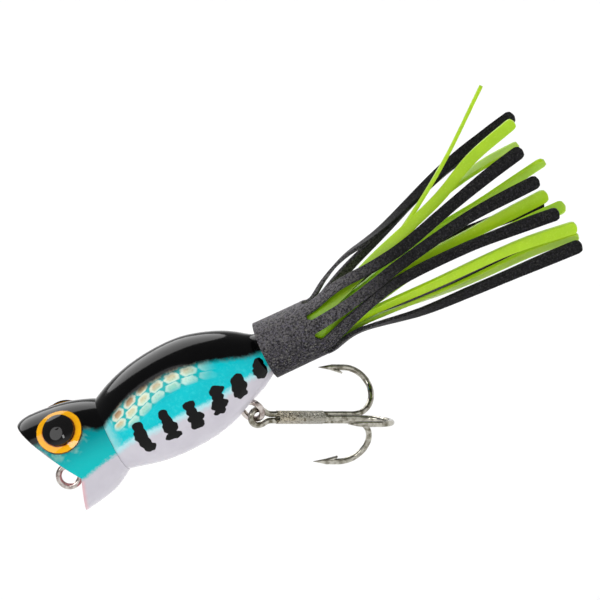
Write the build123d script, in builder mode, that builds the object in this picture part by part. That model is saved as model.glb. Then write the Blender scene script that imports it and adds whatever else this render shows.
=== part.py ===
"""Topwater popper: a hollow two-shell lure body with a scooped mouth, domed eyes, two screw eyes,
a brazed treble hook and a two-layer rubber skirt.

Frame: millimetres, origin at the centre of the line-tie ring, +X towards the tail, +Z towards the back.
The lure looks along -X, so its own left side is at -Y.
"""
import os
from math import atan2, cos, degrees, radians, sin, sqrt

from build123d import *

os.makedirs("parts", exist_ok=True)

# ---- driving dimensions -------------------------------------------------------------------------

# body
neck_x = 7.6  # rear face of the head, where the torso comes out of it
tail_x = 30.1  # end of the torso, where the skirt collars start
axis_z = 4.06  # axis of the tail neck and of the skirt collars
torso_width = 12.6
torso_crown = 6.4  # height of the back above the axis
torso_belly = 7.6  # depth of the belly below the axis
head_width = 12.5
nose_x = -3.05  # foremost point of the upper lip
nose_z = 8.85
lip_x = 0.15  # foremost point of the lower lip
lip_z = -4.92
corner_x = 2.2  # corner of the mouth, seen from the side
corner_z = 0.1
throat_depth = 4.6  # deepest point of the mouth, behind the line from lip to lip
lip_wall = 0.8
cheek_stretch = 1.12  # the mouth's hollow is this much wider than high
shell_wall = 1.2
boss_wall = 1.0  # plastic round the hanger's shank

# tail neck, which the skirt is stretched over
neck_diameter = 4.2
bead_width = 1.2
bead_clearance = 0.02
neck_back = 1.0  # from the neck's end to the collars' end

# locating pins between the shells
pin_diameter = 1.2
pin_length = 1.6
pin_clearance = 0.03
front_pin_back = 2.6  # from the rear face of the head
rear_pin_back = 2.2  # from the end of the torso

# eyes
eye_diameter = 6.0
eye_x = 2.2
eye_lean = 36.0  # how far the eye looks upwards from level
eye_seat_depth = 0.55  # flat pocket below the cheek's surface
eye_ring_proud = 0.35  # the ring follows the cheek and stands this proud of it
pupil_diameter = 4.2
pupil_edge = 0.5  # side of the domed pupil, above the cheek
pupil_dome = 0.55  # height of the dome above its side
eye_clearance = 0.03

# wire eyes that screw into the body
screw_wire = 0.79
line_tie_inner = 2.0  # inside diameter of the line-tie ring
hanger_inner = 1.93  # inside diameter of the hook-hanger ring
line_tie_reach = 6.5  # threaded shank inside the head
hanger_reach = 6.0  # threaded shank inside the belly
thread_start = 1.6  # plain wire between the ring and the thread
thread_pitch = 0.6
thread_depth = 0.08
gimlet_length = 1.0
hanger_x = 25.1
hanger_stand_off = 0.8  # from the belly's surface to the ring's centre
hanger_lean = 26.0  # from straight down, towards the tail
hanger_twist = -32.0  # how far the hanger is screwed round from the middle plane

# treble hook
hook_wire = 0.78
hook_length = 18.6  # overall, end of the eye to the outside of the bend
bend_radius = 3.3
hook_eye_play = 0.48  # room beside the hanger's wire in the hook's eye
eye_to_crotch = 2.9  # from the far wire centre of the eye to where the shanks meet
shank_gap = 0.04  # between the wires of the shank, filled by the braze
double_reach = 3.6  # from the bend to the point of each hook of the double
third_reach = 4.2
point_taper = 1.9
point_radius = 0.03
barb_length = 2.0
barb_height = 0.42
barb_width = 0.36
braze_length = 6.6
braze_skin = 0.06
# the hook lies back and to one side in its ring
hook_pitch = 32.6
hook_sway = 28.1
hook_roll = -8.2
hook_eye_from_ring = (-0.528, -0.346, -0.663)

# skirt
collar_diameter = 7.6
collar_length = 7.0
outer_wall = 0.7
inner_wall = 0.55
layer_gap = 0.04
strand_count = 8
strand_width = 1.5
strand_thick = 0.45
strand_root = 0.4  # overlap of a strand with its collar
strand_lead = 4.0  # from the collar to where a strand turns aside
strand_bend = 14.0  # radius of that turn
outer_skirt_length = 42.8  # collar and strands
inner_skirt_length = 42.0
skirt_lift = 6.2  # how far the middle of the spread bundle rises towards the back
outer_spread = (7.6, 11.2)  # half width and half height of the outer bundle at its tips
inner_spread = (5.6, 8.6)

# ---- derived sizes ------------------------------------------------------------------------------

torso_span = tail_x - neck_x
head_span = neck_x - nose_x
collar_end = tail_x + collar_length
outer_outside = collar_diameter / 2
outer_inside = outer_outside - outer_wall
inner_outside = outer_inside - layer_gap
inner_inside = inner_outside - inner_wall
bead_radius = inner_inside - bead_clearance
wire_radius = hook_wire / 2
wire_spacing = hook_wire + shank_gap
eye_wire_gap = hook_wire + screw_wire + hook_eye_play

# torso sections: share of the way from neck to tail, then shares of crown, belly and width
torso_sections = [
    (-0.10, 0.34, 0.71, 0.70),
    (0.00, 0.57, 0.845, 0.825),
    (0.09, 0.725, 0.905, 0.905),
    (0.205, 0.865, 0.975, 0.97),
    (0.355, 0.966, 1.00, 1.00),
    (0.48, 0.997, 0.982, 1.00),
    (0.60, 0.972, 0.922, 0.97),
    (0.71, 0.878, 0.817, 0.895),
    (0.815, 0.736, 0.672, 0.78),
    (0.91, 0.54, 0.553, 0.63),
    (0.957, 0.428, 0.470, 0.52),
    (1.00, 0.40, 0.40, 0.44),
]
# head sections: share of the way from the nose to the neck, then shares of crown, belly and width
head_sections = [
    (-0.06, 0.66, 1.24, 0.96),
    (0.11, 0.822, 1.215, 0.985),
    (0.30, 0.822, 1.185, 1.00),
    (0.52, 0.788, 1.132, 0.99),
    (0.72, 0.722, 1.065, 0.955),
    (0.87, 0.642, 0.968, 0.905),
    (1.00, 0.548, 0.852, 0.86),
]


# ---- body form ----------------------------------------------------------------------------------


def oval(x, crown, belly, width, grow):
    """An upright oval across the body, with its top and bottom measured from the tail's axis."""
    top = axis_z + crown * torso_crown + grow
    bottom = axis_z - belly * torso_belly - grow
    with BuildSketch(Plane(origin=(x, 0, (top + bottom) / 2), x_dir=(0, 1, 0), z_dir=(1, 0, 0))) as section:
        Ellipse(width / 2 + grow, (top - bottom) / 2)
    return section.sketch


def torso_oval(entry, grow=0.0):
    share, crown, belly, width = entry
    return oval(neck_x + share * torso_span, crown, belly, width * torso_width, grow)


def head_oval(entry, grow=0.0):
    share, crown, belly, width = entry
    return oval(nose_x + share * head_span, crown, belly, width * head_width, grow)


def belly_height(x):
    """Height of the belly's line at x, straight between the torso's sections."""
    line = [(neck_x + entry[0] * torso_span, axis_z - entry[2] * torso_belly) for entry in torso_sections]
    for (x0, z0), (x1, z1) in zip(line, line[1:]):
        if x0 <= x <= x1:
            return z0 + (z1 - z0) * (x - x0) / (x1 - x0)


with BuildPart() as torso_form:
    for entry in torso_sections:
        add(torso_oval(entry))
    loft()

with BuildPart() as tail_neck:
    with BuildSketch(Plane.XZ):
        with BuildLine():
            root = tail_x - shell_wall
            neck_end = collar_end - neck_back
            Polyline(
                (root, axis_z),
                (root, axis_z + neck_diameter / 2),
                (neck_end - 2 * bead_width, axis_z + neck_diameter / 2),
                (neck_end - 1.5 * bead_width, axis_z + bead_radius),
                (neck_end - bead_width, axis_z + bead_radius),
                (neck_end, axis_z + neck_diameter / 2 - 0.4),
                (neck_end, axis_z),
                close=True,
            )
        make_face()
    revolve(axis=Axis((0, 0, axis_z), (1, 0, 0)))

# the mouth's hollow, a stretched ball that leaves a wall inside both lips
lip_way = Vector(lip_x - nose_x, 0, lip_z - nose_z).normalized()
inward = Vector(-lip_way.Z, 0, lip_way.X)
mouth_middle = Vector((nose_x + lip_x) / 2, 0, (nose_z + lip_z) / 2)
mouth_half = sqrt((lip_x - nose_x) ** 2 + (lip_z - nose_z) ** 2) / 2 - lip_wall
cup_radius = (mouth_half**2 + throat_depth**2) / (2 * throat_depth)
cup_centre = mouth_middle + inward * (throat_depth - cup_radius)
with BuildPart() as cup:
    Sphere(cup_radius)
    scale(by=(1, cheek_stretch, 1))

with BuildPart() as head_form:
    for entry in head_sections:
        add(head_oval(entry))
    loft()
    # the face: straight from the upper lip to the corner of the mouth, then forward to the lower lip
    with BuildSketch(Plane.XZ):
        with BuildLine():
            ahead = nose_x - head_span
            Polyline(
                (ahead, nose_z + torso_crown),
                (nose_x, nose_z + torso_crown),
                (nose_x, nose_z),
                (corner_x, corner_z),
                (lip_x, lip_z),
                (lip_x, lip_z - torso_belly),
                (ahead, lip_z - torso_belly),
                close=True,
            )
        make_face()
    extrude(amount=head_width, both=True, mode=Mode.SUBTRACT)
    add(Pos(cup_centre.X, 0, cup_centre.Z) * cup.part, mode=Mode.SUBTRACT)

# ---- screw eyes -----------------------------------------------------------------------------------


def turned(plane, angle):
    """The same plane, turned about its own x axis."""
    z_way = plane.z_dir.rotate(Axis((0, 0, 0), plane.x_dir), angle)
    return Plane(origin=plane.origin, x_dir=plane.x_dir, z_dir=z_way)


def screw_eye(ring_frame, inner_diameter, reach):
    """A wire ring round the frame's z axis, and along its x axis a shank with thread rings and a point."""
    ring_radius = (inner_diameter + screw_wire) / 2
    radius = screw_wire / 2
    tip = ring_radius + reach
    with BuildPart(ring_frame) as eye:
        Torus(ring_radius, radius)
        with BuildSketch(ring_frame):
            with BuildLine():
                start = ring_radius - radius / 2
                outline = [(start, 0), (start, radius * 0.98)]
                x = ring_radius + thread_start
                while x + thread_pitch < tip - gimlet_length:
                    outline += [(x, radius), (x + thread_pitch / 2, radius + thread_depth)]
                    x += thread_pitch
                outline += [(x, radius), (tip, point_radius), (tip, 0)]
                Polyline(*outline, close=True)
            make_face()
        revolve(axis=Axis(ring_frame.origin, ring_frame.x_dir))
    return eye.part


line_tie_frame = Plane(origin=(0, 0, 0), x_dir=(1, 0, 0), z_dir=(0, 1, 0))
line_tie = screw_eye(line_tie_frame, line_tie_inner, line_tie_reach)
line_tie.label = "line_tie_screw_eye"
export_step(line_tie, "parts/line_tie_screw_eye.step")

hanger_out = Vector(sin(radians(hanger_lean)), 0, -cos(radians(hanger_lean)))
foot_x = hanger_x - hanger_stand_off * hanger_out.X
hanger_foot = Vector(foot_x, 0, belly_height(foot_x))
hanger_centre = hanger_foot + hanger_out * hanger_stand_off
hanger_frame = turned(Plane(origin=hanger_centre, x_dir=-hanger_out, z_dir=(0, 1, 0)), hanger_twist)
hanger = screw_eye(hanger_frame, hanger_inner, hanger_reach)
hanger.label = "hook_screw_eye"
export_step(hanger, "parts/hook_screw_eye.step")

# ---- eyes -----------------------------------------------------------------------------------------

# the cheek there is an ellipse; its outward direction leans up by eye_lean
cheek_entry = head_sections[2]
cheek_top = axis_z + cheek_entry[1] * torso_crown
cheek_bottom = axis_z - cheek_entry[2] * torso_belly
cheek_height = (cheek_top - cheek_bottom) / 2
cheek_width = cheek_entry[3] * head_width / 2
lean_up = radians(eye_lean)
around = atan2(sin(lean_up) * cheek_height, cos(lean_up) * cheek_width)
eye_y = cheek_width * cos(around)
eye_z = (cheek_top + cheek_bottom) / 2 + cheek_height * sin(around)


def eye_seat(side):
    """Floor of an eye's pocket: z points out of the cheek. side is -1 on the left and +1 on the right."""
    out = Vector(0, side * cos(lean_up), sin(lean_up))
    floor = Vector(eye_x, side * eye_y, eye_z) - out * eye_seat_depth
    return Plane(origin=floor, x_dir=(1, 0, 0), z_dir=out)


with BuildPart() as grown_head:
    for entry in head_sections:
        add(head_oval(entry, eye_ring_proud))
    loft()

for side, name in ((-1, "left_eye"), (1, "right_eye")):
    seat = eye_seat(side)
    with BuildPart() as eye:
        # disc whose face runs parallel to the cheek
        with BuildSketch(seat):
            Circle(eye_diameter / 2)
        extrude(amount=eye_diameter / 2)
        add(grown_head.part, mode=Mode.INTERSECT)
        # domed pupil
        with BuildSketch(Plane(origin=seat.origin, x_dir=seat.x_dir, z_dir=-seat.y_dir)):
            with BuildLine():
                half = pupil_diameter / 2
                edge = eye_seat_depth + pupil_edge
                dome_radius = (half**2 + pupil_dome**2) / (2 * pupil_dome)
                Line((0, 0), (half, 0))
                Line((half, 0), (half, edge))
                RadiusArc((half, edge), (0, edge + pupil_dome), -dome_radius)
                Line((0, edge + pupil_dome), (0, 0))
            make_face()
        revolve(axis=Axis(seat.origin, seat.z_dir))
    eye.part.label = name
    export_step(eye.part, f"parts/{name}.step")

# ---- body shells ----------------------------------------------------------------------------------

with BuildPart() as hollow:
    for entry in torso_sections[1:-2]:
        add(torso_oval(entry, -shell_wall))
    loft()
    # a solid post takes the hanger's shank
    with BuildSketch(Plane(origin=hanger_foot, z_dir=-hanger_out)):
        Circle(screw_wire / 2 + boss_wall)
    extrude(amount=hanger_reach, both=True, mode=Mode.SUBTRACT)

with BuildPart() as whole_body:
    add(torso_form.part)
    add(tail_neck.part)
    add(head_form.part)
    add(hollow.part, mode=Mode.SUBTRACT)
    add(line_tie, mode=Mode.SUBTRACT)
    add(hanger, mode=Mode.SUBTRACT)
    for side in (-1, 1):
        with BuildSketch(eye_seat(side)):
            Circle(eye_diameter / 2 + eye_clearance)
        extrude(amount=eye_diameter / 2, mode=Mode.SUBTRACT)

# the shells part on the middle plane; pins on the left shell fit holes in the right one
pin_places = [(neck_x - front_pin_back, axis_z), (tail_x - rear_pin_back, axis_z)]
with BuildPart() as left_shell:
    add(whole_body.part)
    split(bisect_by=Plane.XZ, keep=Keep.TOP)
    with BuildSketch(Plane.XZ):
        with Locations(*pin_places):
            Circle(pin_diameter / 2)
    extrude(amount=-pin_length)
left_shell.part.label = "left_body_shell"
export_step(left_shell.part, "parts/left_body_shell.step")

with BuildPart() as right_shell:
    add(whole_body.part)
    split(bisect_by=Plane.XZ, keep=Keep.BOTTOM)
    with BuildSketch(Plane.XZ):
        with Locations(*pin_places):
            Circle(pin_diameter / 2 + pin_clearance)
    extrude(amount=-pin_length - pin_clearance, mode=Mode.SUBTRACT)
right_shell.part.label = "right_body_shell"
export_step(right_shell.part, "parts/right_body_shell.step")

# ---- treble hook ----------------------------------------------------------------------------------

pitch, sway = radians(hook_pitch), radians(hook_sway)
shank_way = Vector(cos(sway) * cos(pitch), sin(sway), -cos(sway) * sin(pitch))
third_way = Vector(0, -1, 0) + shank_way * sin(sway)
# x runs down the shank from the eye's far wire, z points to the third hook's side
hook_frame = turned(
    Plane(origin=hanger_centre + Vector(*hook_eye_from_ring), x_dir=shank_way, z_dir=third_way), hook_roll
)
bend_x = hook_length - hook_wire - bend_radius
groove = wire_spacing * sqrt(3) / 2  # from the double's wires to the third wire, lying in their groove


def leg_frame(direction, across, out):
    """Plane of one hook: x runs down the shank and y towards the point."""
    middle = hook_frame.from_local_coords(Vector(0, across, out))
    return Plane(origin=middle, x_dir=hook_frame.x_dir, z_dir=turned(hook_frame, direction).z_dir)


def hook_leg(frame, shank_start, reach):
    """Shank, round bend, straight stretch, tapered point and barb of one hook."""
    tip_y = 2 * bend_radius
    taper_x = bend_x - reach + point_taper
    with BuildPart() as leg:
        with BuildLine(frame) as wire:
            Line((shank_start, 0), (bend_x, 0))
            ThreePointArc((bend_x, 0), (bend_x + bend_radius, bend_radius), (bend_x, tip_y))
            Line((bend_x, tip_y), (taper_x, tip_y))
        with BuildSketch(Plane(origin=wire.line @ 0, z_dir=wire.line % 0)):
            Circle(wire_radius)
        sweep(path=wire.line)
        with Locations(Plane(origin=frame.from_local_coords(Vector(taper_x, tip_y, 0)), z_dir=-frame.x_dir)):
            Cone(wire_radius, point_radius, point_taper, align=(Align.CENTER, Align.CENTER, Align.MIN))
        # the barb is cut up from the inside of the point, and stands open towards the bend
        root_x = taper_x - point_taper / 3
        inside_y = tip_y - wire_radius * 0.4
        with BuildSketch(frame):
            with BuildLine():
                Polyline(
                    (root_x, inside_y),
                    (root_x + barb_length, tip_y - wire_radius - barb_height),
                    (root_x + barb_length * 0.6, inside_y),
                    close=True,
                )
            make_face()
        extrude(amount=barb_width / 2, both=True)
    return leg.part


with BuildPart() as double_hook:
    # one wire: up one shank, round the eye and back down the other
    eye_radius = eye_wire_gap / 2
    drop = eye_radius - wire_spacing / 2
    run = eye_to_crotch - eye_radius
    flare_radius = (run**2 + drop**2) / (4 * drop)
    flare = degrees(2 * atan2(drop, run))
    shank_top = eye_to_crotch + hook_wire
    with BuildLine(hook_frame) as eye_wire:
        wire = Line((shank_top, wire_spacing / 2), (eye_to_crotch, wire_spacing / 2))
        for radius, turn in (
            (flare_radius, -flare),
            (flare_radius, flare),
            (eye_radius, 180),
            (flare_radius, flare),
            (flare_radius, -flare),
        ):
            wire = JernArc(start=wire @ 1, tangent=wire % 1, radius=radius, arc_size=turn)
        Line(wire @ 1, (shank_top, -wire_spacing / 2))
    with BuildSketch(Plane(origin=eye_wire.line @ 0, z_dir=eye_wire.line % 0)):
        Circle(wire_radius)
    sweep(path=eye_wire.line)
    for direction, across in ((-30, wire_spacing / 2), (210, -wire_spacing / 2)):
        add(hook_leg(leg_frame(direction, across, 0), shank_top - wire_radius, double_reach))
double_hook.part.label = "double_hook"
export_step(double_hook.part, "parts/double_hook.step")

third_hook = hook_leg(leg_frame(90, 0, groove), shank_top, third_reach)
third_hook.label = "third_hook"
export_step(third_hook, "parts/third_hook.step")

with BuildPart() as braze:
    start = hook_frame.from_local_coords(Vector(shank_top, 0, 0))
    with BuildSketch(Plane(origin=start, x_dir=hook_frame.y_dir, z_dir=hook_frame.x_dir)):
        wires = [(-wire_spacing / 2, 0), (wire_spacing / 2, 0), (0, groove)]
        with Locations(*wires):
            Circle(wire_radius + braze_skin)
        make_hull()
        with Locations(*wires):
            Circle(wire_radius, mode=Mode.SUBTRACT)
    extrude(amount=braze_length)
braze.part.label = "hook_braze"
export_step(braze.part, "parts/hook_braze.step")

# ---- skirt ----------------------------------------------------------------------------------------


def skirt_layer(outside, inside, spread, length, first_angle):
    """A rubber tube cut into a ring of strands, which turn out of it and fan apart."""
    middle = (outside + inside) / 2
    knee = collar_end + strand_lead
    with BuildPart() as layer:
        with BuildSketch(Plane(origin=(tail_x, 0, axis_z), z_dir=(1, 0, 0))):
            Circle(outside)
            Circle(inside, mode=Mode.SUBTRACT)
        extrude(amount=collar_length)
        for i in range(strand_count):
            angle = radians(first_angle + 360 * i / strand_count)
            y, z = middle * cos(angle), axis_z + middle * sin(angle)
            tip_y = spread[0] * cos(angle)
            tip_z = axis_z + skirt_lift + spread[1] * sin(angle)
            aside = sqrt((tip_y - y) ** 2 + (tip_z - z) ** 2)
            tip_x = knee + sqrt((tail_x + length - knee) ** 2 - aside**2)
            root = (collar_end - strand_root, y, z)
            with BuildLine() as run:
                FilletPolyline(root, (knee, y, z), (tip_x, tip_y, tip_z), radius=strand_bend)
            with BuildSketch(Plane(origin=root, x_dir=(0, -sin(angle), cos(angle)), z_dir=(1, 0, 0))):
                Rectangle(strand_width, strand_thick)
            sweep(path=run.line)
    return layer.part


outer_skirt = skirt_layer(outer_outside, outer_inside, outer_spread, outer_skirt_length, 0)
outer_skirt.label = "outer_skirt"
export_step(outer_skirt, "parts/outer_skirt.step")

inner_skirt = skirt_layer(inner_outside, inner_inside, inner_spread, inner_skirt_length, 180 / strand_count)
inner_skirt.label = "inner_skirt"
export_step(inner_skirt, "parts/inner_skirt.step")
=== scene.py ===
"""A topwater popper, finished for show: painted body, domed eyes, wire, treble hook and rubber skirt."""
from math import cos, pi, radians, sin

import bmesh
import bpy
from mathutils import Matrix, Vector


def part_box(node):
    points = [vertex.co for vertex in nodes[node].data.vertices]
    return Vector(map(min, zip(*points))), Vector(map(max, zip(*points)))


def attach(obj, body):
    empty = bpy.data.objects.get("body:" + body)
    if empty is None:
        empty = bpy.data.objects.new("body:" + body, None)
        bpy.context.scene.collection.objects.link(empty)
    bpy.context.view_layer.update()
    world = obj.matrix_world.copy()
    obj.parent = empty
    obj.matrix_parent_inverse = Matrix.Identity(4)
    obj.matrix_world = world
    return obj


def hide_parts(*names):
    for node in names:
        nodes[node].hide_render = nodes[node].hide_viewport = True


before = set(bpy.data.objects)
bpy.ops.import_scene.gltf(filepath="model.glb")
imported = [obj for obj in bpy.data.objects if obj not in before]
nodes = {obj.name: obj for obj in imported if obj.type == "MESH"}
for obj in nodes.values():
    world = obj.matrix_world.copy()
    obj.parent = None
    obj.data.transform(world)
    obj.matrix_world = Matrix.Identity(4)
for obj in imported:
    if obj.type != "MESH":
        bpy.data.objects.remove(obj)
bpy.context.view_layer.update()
mm = 0.001

# ---- Stage ----------------------------------------------------------------------------------------
# A pale floor well below the lure, which hangs in the air as it does on a line, and white walls.
# One broad overhead light, a dim one in front and a small bright panel that the gloss picks up.

floor_reach, floor_drop = 4, 60 * mm
wall_heights, wall_strengths = (0.12, 0.5), (1.0, 0.25)
floor_mesh = bpy.data.meshes.new("floor")
bm = bmesh.new()
bmesh.ops.create_grid(bm, x_segments=1, y_segments=1, size=floor_reach)
bmesh.ops.translate(bm, verts=bm.verts, vec=(0, 0, -floor_drop))
bm.to_mesh(floor_mesh)
bm.free()
floor = bpy.data.objects.new("floor", floor_mesh)
bpy.context.scene.collection.objects.link(floor)

floor_paint = bpy.data.materials.new("pale_floor")
floor_paint.use_nodes = True
floor_shader = floor_paint.node_tree.nodes["Principled BSDF"]
floor_shader.inputs["Base Color"].default_value = (0.97, 0.97, 0.97, 1)
floor_shader.inputs["Roughness"].default_value = 0.9
floor_mesh.materials.append(floor_paint)

room = bpy.data.worlds.new("studio")
room.use_nodes = True
walls = room.node_tree
walls.nodes["Background"].inputs["Color"].default_value = (1, 1, 1, 1)
# the walls are white at eye level and dimmer overhead, by the height of the way a ray goes
look = walls.nodes.new("ShaderNodeSeparateXYZ")
walls.links.new(walls.nodes.new("ShaderNodeTexCoord").outputs["Object"], look.inputs[0])
fall = walls.nodes.new("ShaderNodeMapRange")
fall.interpolation_type = "SMOOTHSTEP"
for socket, entry in zip(list(fall.inputs)[1:5], wall_heights + wall_strengths):
    socket.default_value = entry
walls.links.new(look.outputs[2], fall.inputs[0])
walls.links.new(fall.outputs[0], walls.nodes["Background"].inputs["Strength"])
bpy.context.scene.world = room
bpy.context.scene.view_settings.view_transform = "Standard"

far_lights = [("overhead_light", (-0.1, 0.62, 0.78), 1.9, 50), ("front_light", (-0.3, -0.65, 0.7), 1.15, 45)]
for name, way, strength, spread in far_lights:
    soft_light = bpy.data.lights.new(name, "SUN")
    soft_light.energy, soft_light.angle = strength, radians(spread)
    far_light = bpy.data.objects.new(name, soft_light)
    bpy.context.scene.collection.objects.link(far_light)
    far_light.matrix_world = Vector(way).to_track_quat("Z", "Y").to_matrix().to_4x4()

lure_middle = Vector((37.0, 0, 8.1)) * mm
small_light = bpy.data.lights.new("front_panel", "AREA")
small_light.shape, small_light.energy = "RECTANGLE", 0.12
small_light.size, small_light.size_y = 50 * mm, 90 * mm
front_panel = bpy.data.objects.new("front_panel", small_light)
bpy.context.scene.collection.objects.link(front_panel)
panel_place = Vector((20, -420, 200)) * mm
front_panel.matrix_world = (
    Matrix.Translation(panel_place) @ (panel_place - lure_middle).to_track_quat("Z", "Y").to_matrix().to_4x4()
)

# ---- Camera ---------------------------------------------------------------------------------------
# A long lens looks at the lure's left side, a little from behind and above, and tips it nose down.

camera_turn, camera_height, camera_tilt = radians(8), radians(10), radians(-26.4)
camera_lens, camera_away = 600, 1281 * mm
optics = bpy.data.cameras.new("camera")
optics.lens = camera_lens
optics.clip_start, optics.clip_end = 0.01, 20
camera = bpy.data.objects.new("camera", optics)
bpy.context.scene.collection.objects.link(camera)
bpy.context.scene.camera = camera
camera.matrix_world = (
    Matrix.Translation(lure_middle)
    @ Matrix.Rotation(camera_turn, 4, "Z")
    @ Matrix.Rotation(pi / 2 - camera_height, 4, "X")
    @ Matrix.Rotation(camera_tilt, 4, "Z")
    @ Matrix.Translation((0, 0, camera_away))
)

# ---- Body shells ----------------------------------------------------------------------------------
# Two moulded plastic shells, glued on the middle plane and sprayed through masks: black back, teal
# flanks with pale scales, white belly, six black bars on each side, a pink mouth, and clear lacquer.


def linear(red, green, blue):
    """A colour on the 0 to 255 scale of a paint card, as linear light."""
    shades = [c / 255 for c in (red, green, blue)]
    return [((c + 0.055) / 1.055) ** 2.4 if c > 10 / 255 else c / 12.92 for c in shades] + [1]


def new_finish(name):
    finish = bpy.data.materials.new(name)
    finish.use_nodes = True
    return finish, finish.node_tree, finish.node_tree.nodes["Principled BSDF"]


def feed(tree, socket, value):
    if isinstance(value, bpy.types.NodeSocket):
        tree.links.new(value, socket)
    else:
        socket.default_value = value


def number(tree, operation, *values, clamp=False):
    node = tree.nodes.new("ShaderNodeMath")
    node.operation, node.use_clamp = operation, clamp
    for socket, value in zip(node.inputs, values):
        feed(tree, socket, value)
    return node.outputs[0]


def vector(tree, operation, *values, out="Vector"):
    node = tree.nodes.new("ShaderNodeVectorMath")
    node.operation = operation
    for socket, value in zip(node.inputs, values):
        feed(tree, socket, value)
    return node.outputs[out]


def mixed(tree, share, below, above):
    node = tree.nodes.new("ShaderNodeMix")
    node.data_type = "RGBA"
    for socket, value in ((node.inputs[0], share), (node.inputs[6], below), (node.inputs[7], above)):
        feed(tree, socket, value)
    return node.outputs[2]


def soft_edge(tree, value, low, high):
    """0 where value is under low, 1 where it is over high, with a smooth edge between."""
    node = tree.nodes.new("ShaderNodeMapRange")
    node.interpolation_type = "SMOOTHSTEP"
    for socket, entry in zip(node.inputs, (value, low, high, 0.0, 1.0)):
        feed(tree, socket, entry)
    return node.outputs[0]


def speckle(tree, place, scale, detail=3.0, rough=0.6, out=0):
    """Fine noise at a place in millimetres: a value, or with out=1 a vector."""
    node = tree.nodes.new("ShaderNodeTexNoise")
    for name, entry in (("Vector", place), ("Scale", scale), ("Detail", detail), ("Roughness", rough)):
        feed(tree, node.inputs[name], entry)
    return node.outputs[out]


def bumps(tree, shader, height, strength, distance):
    node = tree.nodes.new("ShaderNodeBump")
    for name, entry in (("Strength", strength), ("Distance", distance), ("Height", height)):
        feed(tree, node.inputs[name], entry)
    tree.links.new(node.outputs[0], shader.inputs["Normal"])


def millimetres(tree):
    """The place on the lure in millimetres, then its x, y and z with both sides folded onto one."""
    coordinates = tree.nodes.new("ShaderNodeTexCoord").outputs["Object"]
    place = vector(tree, "MULTIPLY", coordinates, (1000, 1000, 1000))
    split = tree.nodes.new("ShaderNodeSeparateXYZ")
    tree.links.new(place, split.inputs[0])
    return place, split.outputs[0], number(tree, "ABSOLUTE", split.outputs[1]), split.outputs[2]


def drawn_line(tree, x, points):
    """A masking line along the body: its height at each x, smooth through the points."""
    first, last, low, high = -6.0, 34.0, -6.0, 12.0
    node = tree.nodes.new("ShaderNodeFloatCurve")
    curve = node.mapping.curves[0]
    curve.points[0].location = (0, (points[0][1] - low) / (high - low))
    curve.points[1].location = (1, (points[-1][1] - low) / (high - low))
    for px, pz in points:
        curve.points.new((px - first) / (last - first), (pz - low) / (high - low))
    node.mapping.update()
    share = number(tree, "DIVIDE", number(tree, "SUBTRACT", x, first), last - first)
    tree.links.new(share, node.inputs["Value"])
    return number(tree, "MULTIPLY_ADD", node.outputs[0], high - low, low)


# masking lines as (x, height): the black back's lower edge, the white belly's upper edge, the scales' row
back_line = [(-3, 6.9), (-1.2, 6.6), (2.2, 6.5), (5.3, 6.0), (7.3, 5.0), (8.4, 5.5), (11.2, 6.8),
             (15.5, 7.6), (18.8, 7.8), (22.7, 7.2), (26.2, 6.0), (29, 5.0), (31, 4.8)]
belly_line = [(-3, -0.8), (2.2, -0.1), (5.2, 0.6), (7.8, 1.0), (10.4, 1.6), (14.5, 1.6),
              (18.6, 1.8), (22, 1.7), (26.7, 2.2), (29.4, 2.0), (31, 2.0)]
scale_line = [(5, 2.2), (9, 3.9), (12, 5.2), (14.1, 6.05), (16.2, 6.8), (18.3, 7.0), (20.3, 6.9),
              (23, 6.4), (27, 5)]
# scales: the step along a row, the step between rows, each row's shift, and where the first one is
scale_pitch, scale_drop, scale_shift, first_scale = 2.3, 1.06, 0.58, 13.0
row_lean_x, row_lean_z = 0.99, 0.24
# each bar: the x, height and half sizes of the blots that it is sprayed from
bars = [
    [(11.75, 3.1, 0.6, 0.7), (11.6, 1.9, 0.75, 0.9), (11.7, 0.8, 0.7, 0.8), (11.95, -0.1, 0.7, 0.5)],
    [(15.5, 3.2, 0.55, 0.65), (15.55, 2.3, 0.5, 0.6), (15.5, 1.3, 0.85, 0.8), (15.35, 0.1, 1.0, 0.5)],
    [(19.0, 2.9, 0.7, 0.6), (18.9, 2.0, 0.6, 0.6), (19.05, 1.0, 0.95, 0.6), (18.75, 0.1, 0.75, 0.6)],
    [(22.95, 3.0, 0.8, 0.6), (22.8, 2.2, 0.6, 0.5), (22.45, 1.2, 0.9, 0.7), (22.1, 0.3, 0.7, 0.45)],
    [(25.85, 3.0, 0.7, 0.65), (25.65, 2.1, 0.85, 0.8), (25.4, 1.2, 0.7, 0.65)],
    [(29.0, 3.6, 0.55, 0.6), (28.8, 2.6, 0.7, 0.8), (28.7, 2.0, 0.6, 0.55)],
]
mouth_centre, mouth_radius, mouth_stretch = (-3.37, 0, 1.52), 6.57, 1.12
eye_middle, head_end = (2.2, 0, 6.6), 7.62

body_paint, paint, lacquer = new_finish("body_paint")
spot, x, y, z = millimetres(paint)
grain = speckle(paint, spot, 2.2, 4.0)
ragged = speckle(paint, spot, 1.1, 1.0, 0.4, 1)
over_head = number(paint, "LESS_THAN", x, head_end)

# teal flank, in long faint streaks with a paler grain, and darker on top of the head
streaks = speckle(paint, vector(paint, "MULTIPLY", spot, (0.25, 0.4, 0.6)), 1.1, 3.0)
teal = mixed(paint, streaks, linear(0, 178, 190), linear(0, 206, 214))
pale_grain = number(paint, "MULTIPLY", soft_edge(paint, grain, 0.45, 0.75), 0.35)
teal = mixed(paint, pale_grain, teal, linear(60, 215, 220))
head_teal = mixed(paint, soft_edge(paint, z, 1.0, 6.0), linear(0, 184, 186), linear(0, 132, 140))
teal = mixed(paint, over_head, teal, head_teal)

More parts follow.
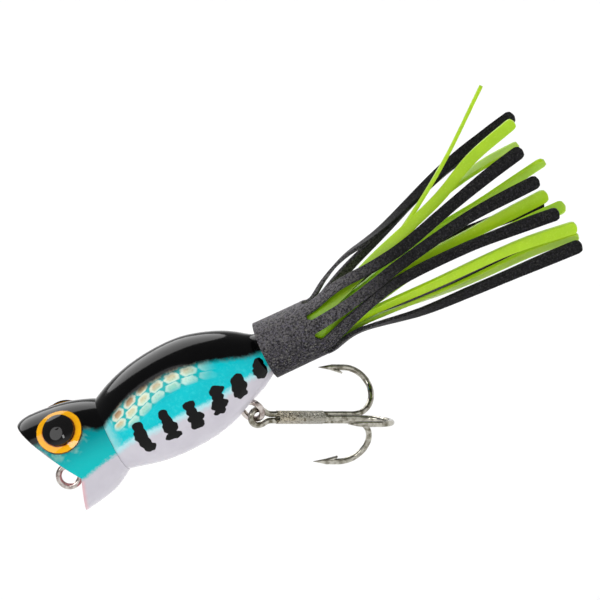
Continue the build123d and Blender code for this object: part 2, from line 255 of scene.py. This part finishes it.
# scales: rows of rounded cells that follow the back, each cell a little different
guide = drawn_line(paint, x, scale_line)
above = number(paint, "MULTIPLY", number(paint, "SUBTRACT", z, guide), 0.93)
row = number(paint, "ROUND", number(paint, "DIVIDE", above, scale_drop))
across = number(paint, "SUBTRACT", above, number(paint, "MULTIPLY", row, scale_drop))
along = number(paint, "MULTIPLY_ADD", x, row_lean_x, number(paint, "MULTIPLY", z, row_lean_z))
along = number(paint, "SUBTRACT", along, number(paint, "MULTIPLY_ADD", row, scale_shift, first_scale))
cell = number(paint, "ROUND", number(paint, "DIVIDE", along, scale_pitch))
beside = number(paint, "SUBTRACT", along, number(paint, "MULTIPLY", cell, scale_pitch))
# a cell is a long hexagon: slanting ends, flat top and bottom, with the corners rounded
beside, across = number(paint, "ABSOLUTE", beside), number(paint, "ABSOLUTE", across)
slant = number(paint, "ADD", number(paint, "MULTIPLY", beside, 0.93), number(paint, "MULTIPLY", across, 0.72))
reach = number(paint, "SMOOTH_MAX", slant, number(paint, "MULTIPLY", across, 2.02), 0.3)
reach = number(paint, "ADD", reach, number(paint, "MULTIPLY_ADD", grain, 0.5, -0.25))
cell_name = paint.nodes.new("ShaderNodeCombineXYZ")
paint.links.new(cell, cell_name.inputs[0])
paint.links.new(row, cell_name.inputs[1])
chance = paint.nodes.new("ShaderNodeTexWhiteNoise")
chance.noise_dimensions = "2D"
paint.links.new(cell_name.outputs[0], chance.inputs["Vector"])
warm = mixed(paint, chance.outputs[0], linear(206, 184, 148), linear(214, 214, 172))
cool = mixed(paint, chance.outputs[0], linear(172, 226, 196), linear(214, 240, 218))
warm = mixed(paint, soft_edge(paint, above, 0.4, 1.6), warm, linear(150, 96, 50))
cell_paint = mixed(paint, soft_edge(paint, above, -0.9, 0.3), cool, warm)
brown_grain = number(paint, "MULTIPLY", soft_edge(paint, speckle(paint, spot, 5.0), 0.5, 0.7), 0.4)
cell_paint = mixed(paint, brown_grain, cell_paint, linear(176, 150, 110))
cell_rim = number(paint, "MULTIPLY", soft_edge(paint, reach, 0.45, 0.8), 0.7)
cell_paint = mixed(paint, cell_rim, cell_paint, linear(226, 244, 226))
inside_cell = number(paint, "SUBTRACT", 1.0, soft_edge(paint, reach, 0.85, 1.15))
rows_on = number(paint, "MULTIPLY", soft_edge(paint, above, -1.75, -1.1), soft_edge(paint, x, 8.6, 9.2))
rows_on = number(paint, "MULTIPLY", rows_on, number(paint, "SUBTRACT", 1.0, soft_edge(paint, x, 19.5, 24.5)))
slanted_start = number(paint, "MULTIPLY_ADD", above, 2.0, x)
rows_on = number(paint, "MULTIPLY", rows_on, soft_edge(paint, slanted_start, 7.8, 10.0))
lower_fade = number(paint, "MULTIPLY_ADD", soft_edge(paint, above, -1.6, 0.2), 0.5, 0.5)
scales_on = number(paint, "MULTIPLY", number(paint, "MULTIPLY", inside_cell, rows_on), lower_fade)
between = number(paint, "MULTIPLY", number(paint, "SUBTRACT", rows_on, scales_on, clamp=True), 0.55)
flank = mixed(paint, between, teal, linear(40, 160, 150))
flank = mixed(paint, scales_on, flank, cell_paint)
# painted highlight: a pale band just behind the head's rear edge, where the torso starts
ragged_x = number(paint, "MULTIPLY_ADD", grain, 1.6, x)
highlight_behind_head = number(paint, "MULTIPLY", soft_edge(paint, ragged_x, 10.2, 8.4), 0.6)
flank = mixed(paint, highlight_behind_head, flank, linear(176, 222, 220))

# pale patches round the eye
from_eye = vector(paint, "SUBTRACT", spot, eye_middle)
from_eye = vector(paint, "LENGTH", vector(paint, "MULTIPLY", from_eye, (1, 0, 1.1)), out="Value")
pale_ring = soft_edge(paint, speckle(paint, spot, 0.8, 2.0), 0.42, 0.62)
pale_ring = number(paint, "MULTIPLY", soft_edge(paint, from_eye, 4.4, 3.3), pale_ring)
teal = mixed(paint, number(paint, "MULTIPLY", pale_ring, 0.6), teal, linear(140, 190, 176))

# white belly and jaw, sprayed up over the teal in a soft haze
white = mixed(paint, speckle(paint, spot, 0.35, 2.0), linear(192, 188, 198), linear(208, 205, 213))
height = number(paint, "ADD", z, number(paint, "MULTIPLY_ADD", grain, 0.9, -0.45))
low_line = drawn_line(paint, x, belly_line)
over_low = number(paint, "SUBTRACT", height, low_line)
haze = mixed(paint, soft_edge(paint, over_low, -0.6, 0.35), white, linear(176, 224, 230))
torso = mixed(paint, soft_edge(paint, over_low, 0.15, 0.85), haze, flank)
head = mixed(paint, soft_edge(paint, over_low, -0.35, 0.3), white, teal)
colour = mixed(paint, over_head, torso, head)

# black back, with a brown and green fringe where it thins out over the scales
top_line = drawn_line(paint, x, back_line)
over_top = number(paint, "ADD", z, number(paint, "MULTIPLY_ADD", grain, 0.5, -0.25))
over_top = number(paint, "SUBTRACT", over_top, top_line)
brown = soft_edge(paint, speckle(paint, spot, 1.3), 0.4, 0.6)
fringe = mixed(paint, brown, linear(12, 62, 52), linear(74, 46, 18))
fringe_share = number(paint, "MULTIPLY", soft_edge(paint, over_top, -0.75, -0.1), 0.75)
colour = mixed(paint, fringe_share, colour, fringe)
black = mixed(paint, speckle(paint, spot, 0.6, 2.0), linear(1, 1, 2), linear(7, 7, 8))
colour = mixed(paint, soft_edge(paint, over_top, -0.3, 0.12), colour, black)

# bars: blots with ragged edges, joined where they are near each other
wander = vector(paint, "MULTIPLY", vector(paint, "SUBTRACT", ragged, (0.5, 0.5, 0.5)), (0.6, 0.6, 0.6))
side_spot = paint.nodes.new("ShaderNodeCombineXYZ")
paint.links.new(x, side_spot.inputs[0])
paint.links.new(z, side_spot.inputs[2])
side_spot = vector(paint, "ADD", side_spot.outputs[0], vector(paint, "MULTIPLY", wander, (1, 0, 1)))
blot = 9.0  # further away than any blot reaches
for bar in bars:
    for bx, bz, half_x, half_z in bar:
        away = vector(paint, "SUBTRACT", side_spot, (bx, 0, bz))
        away = vector(paint, "MULTIPLY", away, (0.82 / half_x, 1, 0.92 / half_z))
        away = vector(paint, "LENGTH", away, out="Value")
        blot = number(paint, "SMOOTH_MIN", blot, away, 0.4)
colour = mixed(paint, soft_edge(paint, blot, 1.08, 0.96), colour, linear(1, 1, 2))

# pink inside the mouth, and thinly along the slanting edge of the lower lip
from_mouth = vector(paint, "SUBTRACT", spot, mouth_centre)
from_mouth = vector(paint, "MULTIPLY", from_mouth, (1, 1 / mouth_stretch, 1))
from_mouth = vector(paint, "LENGTH", from_mouth, out="Value")
pink = mixed(paint, grain, linear(226, 150, 160), linear(236, 186, 190))
lip_edge = number(paint, "SUBTRACT", x, number(paint, "MULTIPLY_ADD", z, 0.408, 2.16))
lip_edge = number(paint, "MULTIPLY", soft_edge(paint, lip_edge, 0.7, 0.05), soft_edge(paint, z, 0.2, -0.6))
colour = mixed(paint, number(paint, "MULTIPLY", lip_edge, 0.6), colour, pink)
in_mouth = soft_edge(paint, from_mouth, mouth_radius + 0.28, mouth_radius + 0.03)
colour = mixed(paint, in_mouth, colour, pink)

# a faint joint line where the shells meet
joint_line = soft_edge(paint, y, 0.07, 0.02)
colour = mixed(paint, number(paint, "MULTIPLY", joint_line, 0.25), colour, linear(60, 60, 62))
paint.links.new(colour, lacquer.inputs["Base Color"])
lacquer.inputs["Roughness"].default_value = 0.4
lacquer.inputs["Specular IOR Level"].default_value = 0
lacquer.inputs["Coat Weight"].default_value = 1
lacquer.inputs["Coat Roughness"].default_value = 0.1
lacquer.inputs["Coat IOR"].default_value = 1.27
ripple = number(paint, "SUBTRACT", speckle(paint, spot, 0.5, 2.0), number(paint, "MULTIPLY", joint_line, 0.5))
bumps(paint, lacquer, ripple, 0.12, 0.0002)
for name in ("left_body_shell", "right_body_shell"):
    nodes[name].data.materials.clear()
    nodes[name].data.materials.append(body_paint)

# ---- Eyes -----------------------------------------------------------------------------------------
# Domed plastic discs glued into pockets in the cheeks: a yellow iris, a brown line on each side of
# it and a high black pupil, all under clear lacquer.

eye_place, eye_lean = (2.2, 4.81, 6.74), radians(36)
pupil_radius, inner_line_radius, iris_radius = 2.1, 2.32, 2.9
eye_plastic, tint, gloss = new_finish("eye_plastic")
spot, x, y, z = millimetres(tint)
folded = tint.nodes.new("ShaderNodeCombineXYZ")
for value, socket in zip((x, y, z), folded.inputs):
    tint.links.new(value, socket)
offset = vector(tint, "SUBTRACT", folded.outputs[0], eye_place)
away = vector(tint, "CROSS_PRODUCT", offset, (0, cos(eye_lean), sin(eye_lean)))
away = vector(tint, "LENGTH", away, out="Value")
away = number(tint, "ADD", away, number(tint, "MULTIPLY_ADD", speckle(tint, spot, 1.5), 0.14, -0.07))
yellow = mixed(tint, speckle(tint, spot, 2.5, 4.0), linear(248, 164, 0), linear(255, 192, 10))
inner_line = soft_edge(tint, away, inner_line_radius, inner_line_radius - 0.18)
outer_line = soft_edge(tint, away, iris_radius, iris_radius + 0.1)
iris = mixed(tint, inner_line, yellow, linear(196, 92, 8))
iris = mixed(tint, outer_line, iris, linear(92, 52, 10))
pupil = mixed(tint, speckle(tint, spot, 0.8), linear(4, 4, 5), linear(14, 12, 12))
in_pupil = soft_edge(tint, away, pupil_radius + 0.1, pupil_radius)
tint.links.new(mixed(tint, in_pupil, iris, pupil), gloss.inputs["Base Color"])
gloss.inputs["Roughness"].default_value = 0.3
gloss.inputs["Specular IOR Level"].default_value = 0
gloss.inputs["Coat Weight"].default_value = 1
gloss.inputs["Coat Roughness"].default_value = 0.03
gloss.inputs["Coat IOR"].default_value = 1.42
bumps(tint, gloss, speckle(tint, spot, 0.7, 2.0), 0.08, 0.0002)
for name in ("left_eye", "right_eye"):
    nodes[name].data.materials.clear()
    nodes[name].data.materials.append(eye_plastic)

# ---- Screw eyes -----------------------------------------------------------------------------------
# Bright nickelled wire, bent into a ring with a threaded shank and screwed into the plastic.


def wire_finish(name, bright, dull_and_shaded_tone, roughness, scratch):
    finish, tree, metal = new_finish(name)
    spot = millimetres(tree)[0]
    dulled = soft_edge(tree, speckle(tree, spot, 1.2, 3.0), 0.35, 0.7)
    tree.links.new(mixed(tree, dulled, bright, dull_and_shaded_tone), metal.inputs["Base Color"])
    metal.inputs["Metallic"].default_value = 1
    rough = number(tree, "MULTIPLY_ADD", speckle(tree, spot, 6.0, 3.0), 0.1, roughness - 0.05)
    tree.links.new(rough, metal.inputs["Roughness"])
    bumps(tree, metal, speckle(tree, spot, 2.0, 2.0), scratch, 0.0001)
    return finish


nickel = wire_finish("nickel_wire", linear(206, 198, 193), linear(128, 112, 106), 0.1, 0.05)
for name in ("line_tie_screw_eye", "hook_screw_eye"):
    nodes[name].data.materials.clear()
    nodes[name].data.materials.append(nickel)

# ---- Treble hook ----------------------------------------------------------------------------------
# Three hooks of bright steel wire: a double bent from one wire, and a third laid in its groove.
# A mottled skin of braze holds the shanks together and fades into clean steel towards the bends.

steel = wire_finish("hook_steel", linear(188, 185, 174), linear(92, 87, 70), 0.08, 0.02)
for name in ("double_hook", "third_hook"):
    nodes[name].data.materials.clear()
    nodes[name].data.materials.append(steel)
braze, tree, metal = new_finish("braze")
spot, x = millimetres(tree)[:2]
crust = speckle(tree, spot, 2.6, 5.0, 0.7)
bare = soft_edge(tree, crust, 0.42, 0.5)
mottled = mixed(tree, bare, linear(74, 64, 44), linear(186, 178, 158))
mottled = mixed(tree, soft_edge(tree, crust, 0.55, 0.62), mottled, linear(58, 46, 30))
braze_start, braze_stop = (corner[0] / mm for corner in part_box("hook_braze"))
along = number(tree, "DIVIDE", number(tree, "SUBTRACT", x, braze_start), braze_stop - braze_start)
along = number(tree, "ADD", along, number(tree, "MULTIPLY_ADD", crust, 1.6, -0.8))
mottled = mixed(tree, soft_edge(tree, along, 0.3, 0.75), mottled, linear(158, 155, 144))
tree.links.new(mottled, metal.inputs["Base Color"])
metal.inputs["Metallic"].default_value = 1
tree.links.new(number(tree, "MULTIPLY", crust, 0.4), metal.inputs["Roughness"])
bumps(tree, metal, speckle(tree, spot, 1.9, 4.0, 0.6), 1.0, 0.00035)
nodes["hook_braze"].data.materials.clear()
nodes["hook_braze"].data.materials.append(braze)

# ---- Skirt layers ---------------------------------------------------------------------------------
# Each layer is one moulded rubber tube, slit from the back into eight strands and stretched over the
# tail neck. The slits end in round notches; the strands fan out, turn and end in rounded tips.

tail_end, axis_height = 30.1, 4.06
collar_length, strands_round = 7.0, 8
strand_rows, collar_rows, strand_columns = 64, 12, 6
run_steps, curve_steps = 400, 24
# along a strand, in millimetres: straight at first, at its own width, flat, and where it swells
straight_for, own_width_at, flat_at = 1.2, 8.5, 9
swell_before_tip, swell_over = 12, 9
twisted_at_share = 0.8


def eased(share):
    """A share held between 0 and 1, with a gentle start and stop."""
    share = max(0, min(share, 1))
    return share * share * (3 - 2 * share)


def smooth_run(points, count):
    """Evenly spaced places on a smooth line through the points, and the line's length."""
    ends = [2 * points[0] - points[1], *points, 2 * points[-1] - points[-2]]
    fine = []
    for a, b, c, d in zip(ends, ends[1:], ends[2:], ends[3:]):
        slope, bend, swing = c - a, 2 * a - 5 * b + 4 * c - d, 3 * b - a - 3 * c + d
        for i in range(curve_steps):
            t = i / curve_steps
            fine.append(0.5 * (2 * b + slope * t + bend * t**2 + swing * t**3))
    fine.append(points[-1])
    marks = [0.0]
    for a, b in zip(fine, fine[1:]):
        marks.append(marks[-1] + (b - a).length)
    places, k = [], 0
    for i in range(count + 1):
        want = marks[-1] * i / count
        while k < len(marks) - 2 and marks[k + 1] < want:
            k += 1
        places.append(fine[k].lerp(fine[k + 1], (want - marks[k]) / (marks[k + 1] - marks[k])))
    return places, marks[-1]


def strand_frames(places, out):
    """For each place of a run: the place, the way ahead, and the way up, turned as little as can be."""
    frames = []
    up = out
    for k, here in enumerate(places):
        ahead = (places[min(k + 1, run_steps)] - places[max(k - 1, 0)]).normalized()
        if k == 0:
            ahead = Vector((1, 0, 0))
        up = (up - ahead * up.dot(ahead)).normalized()
        frames.append((here, ahead, up))
    return frames


def half_width(gone, length, root_width, width, tip_width, notch):
    """Half the width of a strand at a distance gone from its root, with its notch and rounded tip."""
    half = root_width / 2 - notch * (1 - (1 - min(gone / notch, 1)) ** 2) ** 0.5
    half += (width / 2 - (root_width / 2 - notch)) * eased(gone / own_width_at)
    half += (tip_width - width) / 2 * eased((gone - length + swell_before_tip) / swell_over)
    left = length - gone
    round_tip = tip_width / 2.3
    if left < round_tip:
        half -= round_tip * (1 - max(0.0, 1 - (1 - left / round_tip) ** 2) ** 0.5)
    return half


def skirt_layer(name, strands, rubber, node,
                outside, wall, strand_wall, first_angle, notch, root_width):
    """One slit tube: each strand is a grid of rows, and its first rows are its part of the collar."""
    collar_end, rim_flare, merge_gap = tail_end + collar_length, 0.05, 0.004
    bm = bmesh.new()
    pitch = 2 * pi / strands_round
    for i, (points, roll, width, tip_width) in enumerate(strands):
        angle = radians(first_angle) + i * pitch
        out = Vector((0, cos(angle), sin(angle)))
        root = Vector((collar_end, 0, axis_height)) + out * outside
        line = [root, root + Vector((straight_for, 0, 0)), *[Vector(p) for p in points]]
        places, length = smooth_run(line, run_steps)
        frames = strand_frames(places, out)
        grid = bmesh.ops.create_grid(bm, x_segments=strand_rows, y_segments=strand_columns, size=0.5)["verts"]
        for v in grid:
            row = round((v.co.x + 0.5) * strand_rows)
            side = v.co.y * 2
            if row <= collar_rows:
                # the collar: wrapped round the neck, flaring a little at its front rim
                share = row / collar_rows
                turn = angle - side * pitch / 2
                radius = outside + rim_flare * (1 - share) ** 3
                along_collar = tail_end + collar_length * share
                v.co = (along_collar, radius * cos(turn), axis_height + radius * sin(turn))
                continue
            share = (row - collar_rows) / (strand_rows - collar_rows)
            # the rows are closest together at the notch and at the tip, where the outline is round
            gone = length * (share**1.5 * (1 - share) + share * (1 - (1 - share) ** 1.7))
            here, ahead, up = frames[min(run_steps, round(gone / length * run_steps))]
            wide = up.cross(ahead)
            twist = Matrix.Rotation(radians(roll) * eased(gone / length / twisted_at_share), 3, ahead)
            up, wide = twist @ up, twist @ wide
            half = half_width(gone, length, root_width, width, tip_width, notch)
            # near the root a strand is still bowed round the neck
            bow = outside * (1 - cos(side * half / outside)) * max(0, 1 - gone / flat_at) ** 2
            v.co = here + wide * side * half - up * bow
    bmesh.ops.remove_doubles(bm, verts=bm.verts, dist=merge_gap)
    bmesh.ops.recalc_face_normals(bm, faces=bm.faces)
    # if a face at the front rim looks in towards the neck, the whole layer is inside out
    near = min(bm.faces, key=lambda face: face.calc_center_median().x)
    if near.normal.dot(near.calc_center_median() - Vector((tail_end, 0, axis_height))) < 0:
        bmesh.ops.reverse_faces(bm, faces=bm.faces)
    bmesh.ops.scale(bm, verts=bm.verts, vec=(mm, mm, mm))
    mesh = bpy.data.meshes.new(name)
    bm.to_mesh(mesh)
    bm.free()
    mesh.shade_smooth()
    mesh.materials.append(rubber)
    layer = bpy.data.objects.new(name, mesh)
    bpy.context.scene.collection.objects.link(layer)
    # the wall grows inwards; it is full on the collar and thinner on the strands
    thick = layer.vertex_groups.new(name="collar_wall")
    thick.add([v.index for v in mesh.vertices], strand_wall / wall, "REPLACE")
    thick.add([v.index for v in mesh.vertices if v.co.x < (collar_end - 0.3) * mm], 1.0, "REPLACE")
    shell = layer.modifiers.new("wall", "SOLIDIFY")
    shell.thickness, shell.offset, shell.vertex_group = wall * mm, -1, "collar_wall"
    round_edge = layer.modifiers.new("cut_edges", "BEVEL")
    round_edge.width, round_edge.segments, round_edge.limit_method = 0.07 * mm, 2, "ANGLE"
    round_edge.angle_limit = radians(50)
    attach(layer, "lure_body")
    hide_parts(node)


# black rubber: the collar is painted lighter on top as painted light and darker below as painted shade, and
# the strands darken towards their tips
black_rubber, tree, shader = new_finish("black_rubber")
spot, x, _, z = millimetres(tree)
fleck = soft_edge(tree, speckle(tree, spot, 4.2, 3.0, 0.8), 0.5, 0.64)
fleck_hue = soft_edge(tree, speckle(tree, spot, 2.4, 1.0), 0.4, 0.6)
fleck_hue = mixed(tree, fleck_hue, linear(96, 93, 108), linear(118, 117, 110))
grain = soft_edge(tree, speckle(tree, spot, 3.4, 3.0, 0.8), 0.4, 0.6)
# painted light and shade: the collar's tone runs from a darker painted shade low down to a lighter painted
# light on top
lit_top_tone = mixed(tree, grain, linear(40, 38, 41), linear(112, 109, 112))
dull_and_shaded_tone = mixed(tree, grain, linear(14, 13, 16), linear(52, 50, 54))
dark = mixed(tree, grain, linear(3, 3, 4), linear(24, 24, 25))
top_light_share = soft_edge(tree, number(tree, "MULTIPLY_ADD", speckle(tree, spot, 0.5, 2.0), 3.0, z), 3.0, 10.5)
collar_light_and_shade = mixed(tree, top_light_share, dull_and_shaded_tone, lit_top_tone)
along = soft_edge(tree, x, 38.0, 52.0)
collar_light_and_shade = mixed(tree, number(tree, "MULTIPLY", fleck, 0.8), collar_light_and_shade, fleck_hue)
dark = mixed(tree, number(tree, "MULTIPLY", fleck, 0.16), dark, fleck_hue)
tree.links.new(mixed(tree, along, collar_light_and_shade, dark), shader.inputs["Base Color"])
shader.inputs["Roughness"].default_value = 0.55
shader.inputs["Specular IOR Level"].default_value = 0.1
bumps(tree, shader, speckle(tree, spot, 5.0, 3.0), 0.5, 0.00008)

# chartreuse rubber: a little see-through, painted darker green towards the collar as shade under the black
# layer, with pale flecks
lime_rubber, tree, shader = new_finish("chartreuse_rubber")
spot, x = millimetres(tree)[:2]
lime = mixed(tree, speckle(tree, spot, 0.3, 3.0), linear(152, 190, 4), linear(178, 212, 16))
# painted shade: darker green towards the collar, where the strand roots lie under the black layer
lime = mixed(tree, soft_edge(tree, x, 34.0, 52.0), linear(128, 180, 2), lime)
pale_fleck = number(tree, "MULTIPLY", soft_edge(tree, speckle(tree, spot, 4.0), 0.5, 0.8), 0.3)
lime = mixed(tree, pale_fleck, lime, linear(210, 232, 90))
tree.links.new(lime, shader.inputs["Base Color"])
shader.inputs["Roughness"].default_value = 0.38
shader.inputs["Specular IOR Level"].default_value = 0.4
shader.inputs["Subsurface Weight"].default_value = 0.35
shader.inputs["Subsurface Radius"].default_value = (0.6, 1.0, 0.1)
shader.inputs["Subsurface Scale"].default_value = 0.0012
bumps(tree, shader, speckle(tree, spot, 2.5, 3.0), 0.2, 0.00006)

# strands in turn from the far side over the top: places after the root, twist, width, width at the tip
outer_strands = [
    ([(43.5, 4.8, 6.0), (52.5, 5.6, 6.6), (61, 6, 5.8), (70, 6.5, 5)], 10, 1.45, 1.7),
    ([(43.5, 3.8, 8.6), (50, 4, 11), (55.5, 4.5, 13), (60.5, 4.5, 14.5), (66, 4.5, 15.5), (70, 4.5, 16)],
     50, 1.45, 1.7),
    ([(41, 0.9, 9.4), (44.5, 1.2, 10.8), (50.5, 1.4, 12), (61, 1.8, 15.5), (67.5, 1.6, 17), (72, 1, 18)],
     70, 1.45, 1.8),
    ([(42.5, -2.8, 8.4), (48, -3.5, 8.8), (53, -3.3, 9.5), (60.5, -3, 11.5), (66.5, -2.8, 13),
      (71.5, -2.5, 14)], 45, 1.5, 1.75),
    ([(43, -4.5, 5.7), (47.5, -5, 6.8), (52.5, -5.4, 8), (62, -5.6, 9.6), (72, -5, 10)], 0, 1.5, 1.75),
    ([(43.5, -4, 3.9), (50, -4.6, 5.6), (59.5, -5.2, 6), (67.5, -5.2, 5.5), (72.5, -5, 5)], -25, 1.4, 1.7),
    ([(42.5, -1.2, 1.2), (50.5, -1.8, 0.2), (57.5, -2.2, 0), (66, -2.5, -0.2), (73, -2.5, -0.5)],
     -60, 1.5, 1.8),
    ([(43, 2.6, 1.6), (52, 3.4, 1), (62, 3.8, 1), (71, 4, 0.5)], -20, 1.45, 1.7),
]
inner_strands = [
    ([(44, 3, 5.4), (54, 3.6, 8), (64, 2.6, 9.5), (73, 1.5, 11)], 40, 1.4, 1.75),
    ([(43.5, 2.2, 7), (52, 2.6, 9.5), (59, 2, 12.5), (65.5, 1, 14), (71, 0, 14.5)], 60, 1.4, 1.6),
    ([(43.5, 0, 7.6), (49, -0.4, 9.5), (52.5, -0.5, 10.9), (61, -0.4, 16.4), (70, 0, 23.5)], -10, 1.1, 1.0),
    ([(43, -2.0, 7.2), (48.5, -1.7, 9.3), (58.5, -1.5, 12.5), (65, -1.3, 15.5), (72, -1.5, 17.5)],
     40, 1.4, 1.5),
    ([(42.5, -2.7, 4), (50.5, -3.4, 6.3), (61, -3.8, 7.1), (72, -3.4, 7.5)], 0, 1.45, 1.75),
    ([(43, -2, 2.9), (54, -2.9, 3), (65, -3.2, 3), (73.5, -3, 2)], -30, 1.4, 1.75),
    ([(42.5, 0, 1.8), (55.5, -0.8, 1.1), (66.5, -1.2, 1.1), (73, -1.5, 0.5)], -55, 1.4, 1.6),
    ([(44.5, 3, 3.3), (54, 3, 4.8), (64, 1.5, 4.5), (73, 0.5, 4.5)], 0, 1.4, 1.75),
]
skirt_layer("black_skirt", outer_strands, black_rubber, "outer_skirt",
            outside=3.8, wall=0.7, strand_wall=0.45, first_angle=-13.0, notch=0.6, root_width=2.98)
skirt_layer("chartreuse_skirt", inner_strands, lime_rubber, "inner_skirt",
            outside=3.05, wall=0.55, strand_wall=0.45, first_angle=9.5, notch=0.3, root_width=2.39)
